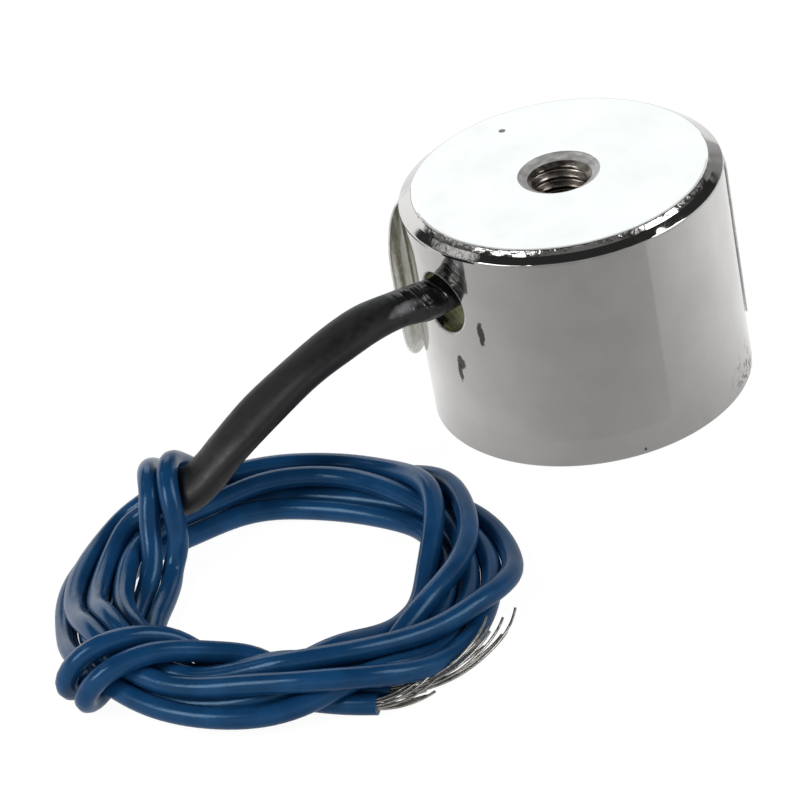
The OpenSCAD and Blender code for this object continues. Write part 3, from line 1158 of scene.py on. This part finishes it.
@dataclass
class LeadRing:
    """Both leads, from the resin plug through the sleeve and three times round the ring.

    The two leads' stations are chosen from the strands that show. A few bells then
    draw the turns together until their outline follows the photo's, and the leads settle
    against each other, the sleeve and the floor.

    Attributes:
        centre: The ring's middle on the floor.
        turn_deg: Turn of the stations' zero angle from +X.
        lead_d: A lead's diameter.
        spacing: Distance between a lead's points.
        evened: Width, in points, over which a lead's first line is evened out.
        held_in_sleeve: Share of the sleeve's run in which the leads can't move.
        outer_from: Radius past which a strand counts as outer.
        inner_to: Radius below which it counts as inner.
        fades_over: Distance over which it fully does.
        outer_in: How far outer strands are drawn in.
        inner_out: How far inner strands are drawn out.
        outer_up: How far outer strands are lifted.
        front_out, front_down: How far the inner strand at the front right is moved.
        wrap_in, wrap_down, wrap_above: How far the far wraps are moved, and above which height down.
        steps, search_every: Steps of settling, and how often neighbours are looked for.
        search_gap: Gap within which strands count as neighbours.
        own_gap: Diameters along a lead past which it may press on itself.
        spread, stiff, grip: Stiffness that shares out a push, that holds a lead, and of the sleeve.
        sag: How far a lead sinks in a step.
        press_gap, press_gain, floor_gain: Gap in diameters that a push makes, and how hard it is.
        beside: Distance of a lead from the sleeve's middle.
        tube_spacing, tube_reach, tube_from: Spacing, reach and first of the points that stand for the sleeve.
        tube_gain, tube_core: How hard the sleeve pushes, and where it pushes no harder.
        mouth_points: Points past the held ones that the sleeve doesn't push.
        sleeve: The sleeve.
        turns_a, turns_b: The two leads' stretches of stations.
    """

    centre: tuple[float, float] = (-27.22, -4.5)
    turn_deg: float = -33.5
    lead_d: float = 1.3
    spacing: float = 0.5
    evened: float = 2.0
    held_in_sleeve: float = 0.93
    outer_from: float = 11.0
    inner_to: float = 11.2
    fades_over: float = 2.0
    outer_in: tuple[Bell, ...] = (Bell(255, 45, 1.4), Bell(0, 32, 1.5), Bell(310, 25, -0.3),
                                  Bell(150, 32, 1.5))
    inner_out: tuple[Bell, ...] = (Bell(252, 42, 0.6), Bell(0, 40, 1.2), Bell(175, 40, 0.8),
                                   Bell(95, 40, 0.1))
    outer_up: Bell = Bell(262, 45, 0.5)
    front_out: Bell = Bell(300, 25, 1.0)
    front_down: Bell = Bell(300, 25, 0.3)
    wrap_in: float = 0.8
    wrap_down: float = 0.2
    wrap_above: float = 2.4
    steps: int = 240
    search_every: int = 5
    search_gap: float = 0.5
    own_gap: float = 2.4
    spread: float = 60.0
    stiff: float = 0.6
    grip: float = 1000.0
    sag: float = 0.004
    press_gap: float = 1.01
    press_gain: float = 1.5
    floor_gain: float = 1.2
    beside: float = 0.67
    tube_spacing: float = 0.4
    tube_reach: float = 0.6
    tube_from: int = 30
    tube_gain: float = 0.5
    tube_core: float = 0.2
    mouth_points: int = 24
    sleeve: LeadSleeve = field(default_factory=LeadSleeve)
    turns_a: tuple[Stretch, ...] = (
        Stretch(Lay.TURN, ((140, 12.4, 2.7), (147, 12.7, 2.1), (156, 12.5, 1.8), (166, 12.1, 1.75),
            (177, 11.8, 1.9), (188, 11.5, 2.3), (198, 11.5, 2.8), (208, 11.6, 3.1), (219, 11.9, 3),
            (231, 12.1, 2.8), (247, 12.5, 2.6), (262, 13, 2.6), (278, 13.6, 2.6), (293, 14.1, 2.5),
            (306, 14, 2.1), (320, 13.7, 1.6), (332, 13.4, 1.1), (342, 13.1, 0.8), (352, 12.9, 0.65))),
        Stretch(Lay.TURN, ((0, 12.6, 0.65), (10, 12, 0.65), (20, 11.3, 0.65), (30, 10.7, 0.65),
            (41, 10.2, 0.65), (52, 9.9, 0.65), (65, 9.9, 0.65), (78, 10.1, 0.65), (90, 10.4, 0.65),
            (101, 10.7, 0.65), (112, 11.1, 0.65), (125, 11.7, 0.65), (138, 12.4, 0.65), (152, 12.5, 0.65),
            (165, 12.1, 0.7), (178, 11.6, 1), (190, 11.3, 1.5), (202, 11.4, 1.95), (216, 11.8, 1.95),
            (232, 11.8, 1.9), (250, 11.8, 1.85), (268, 11.8, 1.9), (283, 11.6, 1.9), (298, 11.3, 1.5),
            (312, 10.9, 1), (325, 10.7, 0.7), (335, 10.6, 0.65), (345, 10.6, 0.65), (355, 10.5, 0.65))),
        Stretch(Lay.TURN, ((5, 10.2, 0.65), (15, 9.7, 0.65), (25, 9.2, 0.65), (36, 8.7, 0.65),
            (46, 8.4, 0.65), (57, 8.3, 0.65), (68, 8.4, 0.65), (80, 8.7, 0.65), (92, 9.2, 0.65),
            (103, 9.4, 0.65), (113, 9.3, 0.65), (124, 9.2, 0.65), (136, 9.6, 0.65), (150, 10.2, 0.65),
            (165, 10.3, 0.65), (178, 10.2, 0.9), (190, 10.2, 1.4), (202, 10.3, 1.95), (216, 10.6, 1.95),
            (232, 10.6, 1.9), (250, 10.6, 1.85), (268, 10.6, 1.9), (283, 10.4, 1.9), (298, 10.1, 1.6),
            (312, 9.7, 1.1), (325, 9.4, 0.75), (336, 9.3, 0.65), (346, 9.3, 0.75), (355, 9.4, 1.1))),
        Stretch(Lay.LAST, ((3, 9.6, 1.6), (11, 9.9, 2.2), (19, 10.2, 2.7), (27, 10.5, 3), (35, 10.8, 3),
            (44, 11.2, 2.9), (55, 11.6, 2.75), (66, 11.9, 2.65), (78, 12, 2.6), (90, 12, 2.6),
            (100, 12, 2.6))),
        Stretch(Lay.FAR_WRAP, ((108, 12.3, 2.8), (113, 12.6, 3.6), (116, 12.2, 4.5), (119, 11.5, 5.2),
            (122.5, 10.7, 5.4), (126, 9.9, 5.1), (129, 9.4, 4.4), (132, 8.9, 3.3), (137, 8.5, 2.4))),
        Stretch(Lay.LAST, ((144, 7.9, 1.8), (154, 7.4, 1.35), (166, 7.2, 1), (179, 7.4, 0.8),
            (190, 8, 0.65))),
        Stretch(Lay.NEAR_WRAP, ((198, 8.6, 0.65), (204.5, 9.6, 0.65), (209, 11, 0.65),
            (212.5, 12.2, 0.65), (215, 13.3, 0.7), (217, 14.4, 1.2), (219, 14.9, 2.4), (221.5, 14.4, 3.6),
            (224.5, 13.3, 4.1), (228.5, 12, 3.95))),
        Stretch(Lay.LAST, ((232, 10.9, 3.4), (237, 10, 2.8), (244, 9.2, 2.2), (252, 8.9, 2),
            (260, 8.7, 1.7), (268, 8.9, 1.2), (275, 9.7, 0.7), (282, 10.7, 0.65), (290, 11.6, 0.65),
            (300, 12.4, 0.65))))
    turns_b: tuple[Stretch, ...] = (
        Stretch(Lay.TURN, ((139, 11.1, 2.7), (146, 11.2, 2.1), (155, 10.9, 1.85), (165, 10.6, 1.8),
            (176, 10.5, 1.9), (188, 10.5, 2.3), (198, 10.5, 2.8), (210, 10.6, 3.2), (222, 10.9, 3.1),
            (235, 11.2, 2.9), (247, 11.5, 2.8), (262, 11.7, 2.9), (274, 12, 3), (286, 12, 3),
            (299, 11.9, 3), (313, 12.4, 2.75), (321, 12.9, 2.5), (329, 13.5, 2.2), (335, 14, 1.9),
            (341, 14.3, 1.6), (348, 14.3, 1.3), (355, 13.9, 1))),
        Stretch(Lay.TURN, ((4, 13.4, 0.8), (14, 12.8, 0.65), (25, 12.2, 0.65), (38, 11.6, 0.65),
            (52, 11.2, 0.65), (66, 11.2, 0.65), (80, 11.5, 0.65), (94, 11.9, 0.65), (107, 12.5, 0.65),
            (119, 13.4, 0.65), (130, 14.2, 0.65), (142, 14.5, 0.65), (152, 14.3, 0.65), (162, 13.9, 0.65),
            (171, 13.4, 0.8), (181, 12.9, 1.2), (191, 12.7, 1.7), (203, 12.9, 2), (216, 13.2, 1.95),
            (230, 13.1, 1.9), (245, 13.1, 1.85), (260, 13.1, 1.85), (276, 13.1, 1.9), (288, 13, 1.9),
            (298, 12.8, 1.6), (308, 12.5, 1.2), (320, 12.2, 0.8), (335, 11.9, 0.65), (345, 11.8, 0.65),
            (355, 11.7, 0.7))),
        Stretch(Lay.TURN, ((4, 11.5, 1), (13, 11.1, 1.4), (23, 10.6, 1.7), (36, 10.1, 1.9),
            (49, 9.8, 1.95), (64, 10, 1.95), (76, 10.1, 1.95), (86, 10.2, 1.95), (96, 10.2, 1.95),
            (107, 10, 1.95), (120, 9.9, 1.9), (133, 9.9, 1.9), (146, 9.9, 1.8), (156, 9.7, 1.75),
            (167, 9.4, 1.7), (179, 9.3, 1.8), (191, 9.4, 2), (201, 9.5, 2.1), (213, 9.4, 2),
            (228, 9.4, 1.95), (245, 9.4, 1.9))),
        Stretch(Lay.INNER, ((262, 9.4, 1.9), (278, 9.4, 1.9), (289, 9.4, 1.9), (300, 9.3, 2),
            (318, 9.1, 2.2), (327, 9.4, 2.35))),
        Stretch(Lay.TURN, ((336, 9.8, 2.5), (344, 10.2, 2.65), (353, 10.6, 2.75))),
        Stretch(Lay.LAST, ((1, 11.1, 2.75), (9, 11.6, 2.7), (17, 12, 2.6), (25, 12.4, 2.45),
            (33, 12.6, 2.2), (41, 12.6, 1.95), (50, 12.5, 1.7), (64, 12.3, 1.45), (80, 12.3, 1.35),
            (95, 12.4, 1.35), (105, 12.9, 1.5))),
        Stretch(Lay.FAR_WRAP, ((112, 13.5, 2), (117, 13.9, 2.9), (120.5, 13.5, 4), (124, 12.5, 4.75),
            (128, 11.4, 5), (132, 10.6, 4.8), (135, 10.2, 4.1))),
        Stretch(Lay.LAST, ((138, 9.9, 3.2), (142, 9.4, 2.4), (148, 9, 1.9), (156, 8.6, 1.5),
            (167, 8.3, 1.1), (177, 8.3, 0.8), (187, 8.8, 0.65))),
        Stretch(Lay.NEAR_WRAP, ((193, 9.8, 0.65), (199.5, 11, 0.65), (204.5, 12.2, 0.65),
            (207.3, 13.3, 0.7), (209.5, 14.4, 1.2), (211.3, 14.9, 2.4), (213.3, 14.4, 3.6),
            (215.5, 13.3, 4.15), (218, 12.3, 4.05), (220.5, 11.2, 3.65), (223, 10.1, 3.2),
            (229, 9.2, 2.7))),
        Stretch(Lay.LAST, ((237, 8.6, 2.1), (247, 8.2, 1.5), (254, 8.4, 1), (261, 9, 0.65),
            (267, 10, 0.65), (273, 11, 0.65), (280, 12, 0.65), (287, 12.9, 0.65), (294.5, 13.5, 0.65))))

    def fitted(self, lay: Lay, angle: float, radius: float, height: float) -> Point:
        """A station, fitted to the ring's outline.

        Args:
            lay: How the station's stretch is fitted.
            angle: The station's angle, which stays.
            radius: Its radius.
            height: Its height.

        Returns:
            The angle with the new radius and height, both to a hundredth and the radius then to a tenth.
        """
        if lay is Lay.NEAR_WRAP:
            return angle, radius, height
        if lay is Lay.FAR_WRAP:
            out = -self.wrap_in
            up = -self.wrap_down * held_share((height - self.wrap_above) / self.fades_over)
        else:
            outer = held_share((radius - self.outer_from) / self.fades_over)
            inner = held_share((self.inner_to - radius) / self.fades_over)
            out = inner * sum(bell.at(angle) for bell in self.inner_out)
            out -= outer * sum(bell.at(angle) for bell in self.outer_in)
            up = 0.0 if lay is Lay.LAST else outer * self.outer_up.at(angle)
        if lay is Lay.INNER:
            out += self.front_out.at(angle)
            up -= self.front_down.at(angle)
        radius, height = round(radius + out, 2), round(max(self.lead_d / 2, height + up), 2)
        return angle, round(radius, 1), height

    def station(self, angle: float, radius: float, height: float) -> Point:
        """A station's point in the part's frame."""
        a = math.radians(angle + self.turn_deg)
        return (self.centre[0] + radius * math.cos(a), self.centre[1] + radius * math.sin(a), height)

    def guide(self, turns: tuple[Stretch, ...], side: float) -> tuple[np.ndarray, int]:
        """One lead's first line, through the sleeve and round the ring.

        Args:
            turns: The lead's stretches of stations.
            side: Which side of the sleeve it lies on, -1 or 1.

        Returns:
            Points along the line, and how many of them lie in the sleeve.
        """
        line = self.sleeve.middle()
        across, _ = self.sleeve.frames(line)
        inside = even_line(line + across * side * self.beside, self.spacing)
        ring = [self.station(*self.fitted(turn.lay, *s)) for turn in turns for s in turn.stations]
        lead = smooth_line(np.vstack([inside[::4], np.array(ring)]), self.spacing)
        return even_line(self._even(lead, self.evened), self.spacing), int(len(inside) * self.held_in_sleeve)

    def settle(self) -> list[np.ndarray]:
        """Lets both leads settle until they lie on each other, the sleeve and the floor.

        Returns:
            The settled line of each lead.
        """
        leads = [self.guide(self.turns_a, 1), self.guide(self.turns_b, -1)]
        first = np.vstack([line for line, _ in leads])
        owner = np.concatenate([np.full(len(line), k) for k, (line, _) in enumerate(leads)])
        past = np.concatenate([np.arange(len(line)) - inside for line, inside in leads])
        share = [self._rod(len(line), inside, self.spread) for line, inside in leads]
        hold = [self._rod(len(line), inside, self.stiff) for line, inside in leads]
        tube = even_line(self.sleeve.middle(), self.tube_spacing)
        side, up = self.sleeve.frames(tube)
        move = np.zeros_like(first)
        for step in range(self.steps):
            x = first + move
            if step % self.search_every == 0:
                pairs = self._neighbours(x, owner)
            push = self._press(x, pairs) + self._off_sleeve(x, tube, side, up, past < self.mouth_points)
            push[:, 2] += self.floor_gain * np.clip(self.lead_d / 2 - x[:, 2], 0, None) - self.sag
            for k in (0, 1):
                mine = owner == k
                move[mine] = hold[k] @ (move[mine] + share[k] @ push[mine])
        x = first + move
        x[:, 2] = np.maximum(x[:, 2], self.lead_d / 2)
        log.info("leads settled, deepest overlap left %.2f mm", self._overlap(x, owner))
        return [x[owner == k] for k in (0, 1)]

    def _rod(self, count: int, inside: int, stiff: float) -> np.ndarray:
        """Matrix that evens moves out along a lead as a stiff rod would, with none inside the sleeve."""
        bend = np.diff(np.eye(count), 2, axis=0)
        held = np.diag(np.where(np.arange(count) < inside, self.grip, 0.0))
        return np.linalg.inv(np.eye(count) + stiff * bend.T @ bend + held)

    def _overlap(self, x: np.ndarray, owner: np.ndarray) -> float:
        """How far the strands still reach into each other at most."""
        i, j = self._neighbours(x, owner)
        return float(max(0.0, self.lead_d - np.linalg.norm(x[i] - x[j], axis=1).min()))

    @staticmethod
    def _even(values: np.ndarray, width: float) -> np.ndarray:
        """Evens values out along a lead over a width counted in points."""
        reach = int(3 * width) + 1
        bell = np.exp(-0.5 * (np.arange(-reach, reach + 1) / width) ** 2)
        bell /= bell.sum()
        padded = np.vstack([2 * values[:1] - values[reach:0:-1], values,
                            2 * values[-1:] - values[-2:-reach - 2:-1]])
        return np.stack([np.convolve(padded[:, k], bell, "valid") for k in range(3)], axis=1)

    def _neighbours(self, x: np.ndarray, owner: np.ndarray) -> tuple[np.ndarray, np.ndarray]:
        """Pairs of points near enough to press on each other."""
        square = (x**2).sum(1)
        gap = square[:, None] + square[None] - 2 * x @ x.T
        i, j = np.nonzero(np.triu(gap < (self.lead_d + self.search_gap) ** 2, 1))
        apart = (owner[i] != owner[j]) | (np.abs(i - j) * self.spacing > self.own_gap * self.lead_d)
        return i[apart], j[apart]

    def _press(self, x: np.ndarray, pairs: tuple[np.ndarray, np.ndarray]) -> np.ndarray:
        """Moves points of strands that overlap away from each other."""
        i, j = pairs
        away = x[i] - x[j]
        gap = np.linalg.norm(away, axis=1)
        push = np.clip(self.lead_d * self.press_gap - gap, 0, None) / np.maximum(gap, 1e-6)
        move, count = np.zeros_like(x), np.zeros(len(x))
        np.add.at(move, i, 0.5 * push[:, None] * away)
        np.add.at(move, j, -0.5 * push[:, None] * away)
        np.add.at(count, i, push > 0)
        np.add.at(count, j, push > 0)
        return move / np.maximum(count, 1)[:, None] * self.press_gain

    def _off_sleeve(self, x: np.ndarray, tube: np.ndarray, side: np.ndarray, up: np.ndarray,
                    held: np.ndarray) -> np.ndarray:
        """Moves points out of the sleeve's flattened section."""
        free = np.nonzero(~held)[0]
        away = x[free, None] - tube[None]
        near = (away**2).sum(2).argmin(1)
        d = away[np.arange(len(free)), near]
        s, u = (d * side[near]).sum(1), (d * up[near]).sum(1)
        ahead = np.abs((d * np.cross(up[near], side[near])).sum(1))
        wide, high = self.sleeve.half_wide + self.lead_d / 2, self.sleeve.half_high + self.lead_d / 2
        inside = np.sqrt((s / wide) ** 2 + (u / high) ** 2)
        beside = (inside < 1) & (ahead < self.tube_reach) & (near > self.tube_from)
        push = np.where(beside, 1 / np.maximum(inside, self.tube_core) - 1, 0)
        move = np.zeros_like(x)
        move[free] = self.tube_gain * push[:, None] * (s[:, None] * side[near] + u[:, None] * up[near])
        return move


class TubeTree:
    """A node tree that sweeps a round tube along every line of a mesh."""

    SHARP_DEG = 60.0

    def __init__(self, name: str) -> None:
        """Builds the tree with its named inputs."""
        tree = bpy.data.node_groups.new(name, "GeometryNodeTree")
        face = tree.interface
        face.new_socket("Geometry", in_out="INPUT", socket_type="NodeSocketGeometry")
        self.radius = face.new_socket("Radius", in_out="INPUT", socket_type="NodeSocketFloat").identifier
        self.sides = face.new_socket("Sides", in_out="INPUT", socket_type="NodeSocketInt").identifier
        self.finish = face.new_socket("Finish", in_out="INPUT", socket_type="NodeSocketMaterial").identifier
        face.new_socket("Geometry", in_out="OUTPUT", socket_type="NodeSocketGeometry")
        node = tree.nodes.new
        given, out = node("NodeGroupInput"), node("NodeGroupOutput")
        line, circle = node("GeometryNodeMeshToCurve"), node("GeometryNodeCurvePrimitiveCircle")
        sweep, real = node("GeometryNodeCurveToMesh"), node("GeometryNodeRealizeInstances")
        smooth, dress = node("GeometryNodeSetShadeSmooth"), node("GeometryNodeSetMaterial")
        sweep.inputs["Fill Caps"].default_value = True
        join = tree.links.new
        join(given.outputs["Geometry"], line.inputs["Mesh"])
        join(given.outputs["Radius"], circle.inputs["Radius"])
        join(given.outputs["Sides"], circle.inputs["Resolution"])
        join(line.outputs["Curve"], sweep.inputs["Curve"])
        join(circle.outputs["Curve"], sweep.inputs["Profile Curve"])
        join(sweep.outputs["Mesh"], smooth.inputs["Geometry"])
        join(smooth.outputs["Geometry"], real.inputs["Geometry"])
        join(real.outputs["Geometry"], dress.inputs["Geometry"])
        join(given.outputs["Finish"], dress.inputs["Material"])
        join(dress.outputs["Geometry"], out.inputs["Geometry"])
        self.tree = tree

    def sweep(self, name: str, lines: list[np.ndarray], diameter: float, sides: int,
              finish: bpy.types.Material) -> bpy.types.Object:
        """Sweeps a tube along lines of points in millimetres.

        Args:
            name: The piece's name.
            lines: The lines, each an array of points.
            diameter: The tube's diameter in millimetres.
            sides: How many sides the tube has.
            finish: The tube's material.

        Returns:
            A plain mesh object at the origin.
        """
        points = np.vstack(lines) * MM
        edges, start = [], 0
        for line in lines:
            edges += [(start + k, start + k + 1) for k in range(len(line) - 1)]
            start += len(line)
        mesh = bpy.data.meshes.new(name + "_line")
        mesh.from_pydata(points.tolist(), edges, [])
        holder = bpy.data.objects.new(name + "_line", mesh)
        bpy.context.scene.collection.objects.link(holder)
        modifier = holder.modifiers.new("tube", "NODES")
        modifier.node_group = self.tree
        modifier[self.radius] = diameter / 2 * MM
        modifier[self.sides] = sides
        modifier[self.finish] = finish
        shown = bpy.context.evaluated_depsgraph_get()
        made = bpy.data.meshes.new_from_object(holder.evaluated_get(shown))
        made.name = name
        bpy.data.objects.remove(holder)
        obj = bpy.data.objects.new(name, made)
        bpy.context.scene.collection.objects.link(obj)
        work = bmesh.new()
        work.from_mesh(made)
        bmesh.ops.recalc_face_normals(work, faces=work.faces)
        work.to_mesh(made)
        work.free()
        made.set_sharp_from_angle(angle=math.radians(self.SHARP_DEG))
        return obj


@dataclass
class Leads:
    """The two blue leads with their stripped ends."""

    ring: LeadRing = field(default_factory=LeadRing)
    exit: Point = (-9.8, 0.0, 11.1)
    sides: int = 20
    strand_d: float = 0.16
    strand_sides: int = 8
    strands: int = 9
    seeds: tuple[int, int] = (3, 8)
    spread: tuple[float, float] = (0.8, 3.0)
    kept: tuple[float, float] = (0.72, 1.0)
    bundle_r: float = 0.24
    fan_r: float = 0.30
    fan_power: float = 1.6
    twist: float = 1.8
    ends_a: tuple[Point, ...] = ((300, 12.4, 0.65), (306, 13.2, 0.65), (314, 13.9, 0.75), (324, 14.2, 0.9),
                                 (332, 14.2, 1.0), (338, 14.0, 1.1))
    ends_b: tuple[Point, ...] = ((294.5, 13.5, 0.65), (299, 13.9, 0.62), (305, 14.1, 0.6), (311, 14.2, 0.6))

    def build(self, sleeve: bpy.types.Object) -> list[bpy.types.Object]:
        """Builds the leads and their bare strands.

        Args:
            sleeve: The sleeve that both leads run in. Not used.

        Returns:
            The pieces.
        """
        tubes, blue, tin = TubeTree("tube_along_lines"), BlueVinyl().make(), TINNED.make()
        made = []
        for letter, line, ends, seed in zip("ab", self.ring.settle(), (self.ends_a, self.ends_b), self.seeds):
            lead = tubes.sweep(f"lead_{letter}", [line], self.ring.lead_d, self.sides, blue)
            fan = self._fan(line, ends, seed)
            bare = tubes.sweep(f"strands_{letter}", fan, self.strand_d, self.strand_sides, tin)
            for obj, slot in ((lead, Slot.BLUE), (bare, Slot.SOLDER)):
                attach(obj, BODY)
            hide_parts("lead_coil")
            made += [lead, bare]
        return made

    def _fan(self, line: np.ndarray, ends: tuple[Point, ...], seed: int) -> list[np.ndarray]:
        """Lines of the bare strands, which leave the insulation together and spread a little."""
        rng = np.random.default_rng(seed)
        trunk = np.array([self.ring.station(*s) for s in ends])
        trunk += line[-1] - trunk[0]
        trunk[:, 2] = np.maximum(trunk[:, 2], self.strand_d)
        middle = smooth_line(np.vstack([line[-3:-1], trunk]), 0.25)
        ahead = headings(middle)
        side = unit_rows(np.cross(ahead, (0, 0, 1.0)))
        up = np.cross(side, ahead)
        t = np.linspace(0, 1, len(middle))[:, None]
        fan = []
        for k in range(self.strands):
            turn = 2 * math.pi * k / self.strands
            spread = rng.uniform(*self.spread)
            keep = int(len(middle) * rng.uniform(*self.kept))
            radius = self.bundle_r + self.fan_r * spread * t**self.fan_power
            twist = turn + self.twist * t
            strand = middle + radius * (np.cos(twist) * side + np.sin(twist) * up)
            strand[:, 2] = np.maximum(strand[:, 2], self.strand_d / 2)
            fan.append(strand[:keep])
        return fan


@dataclass
class InnerParts:
    """The CAD nodes that stay as they are and only get their finishes."""

    finishes: tuple = (
        ("potting_resin", RESIN), ("bobbin", NYLON), ("winding", COPPER), ("coil_tape", TAPE),
        ("joint_a", SOLDER), ("joint_b", SOLDER), ("lead_tail_a", BlueVinyl()), ("lead_tail_b", BlueVinyl()))

    def dress(self) -> None:
        """Gives each node its finish."""
        made: dict[str, bpy.types.Material] = {}
        for node, finish in self.finishes:
            if finish.name not in made:
                made[finish.name] = finish.make()
            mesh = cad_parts[node].data
            mesh.materials.clear()
            mesh.materials.append(made[finish.name])
            log.info("%s: %s", node, finish.name)


def main() -> None:
    """Builds the scene: camera and leads first, then the magnet's pieces and the studio."""
    logging.basicConfig(level=logging.INFO, format="%(name)s: %(message)s")
    Viewpoint().build()
    leads = Leads()
    sleeve = leads.ring.sleeve.build()
    pieces = [sleeve, *leads.build(sleeve), PotBody().build(), Label().build()]
    InnerParts().dress()
    Studio().build()
    for piece in pieces:
        log.info("%s: %d faces", piece.name, len(piece.data.polygons))


if __name__ == "__main__":
    main()
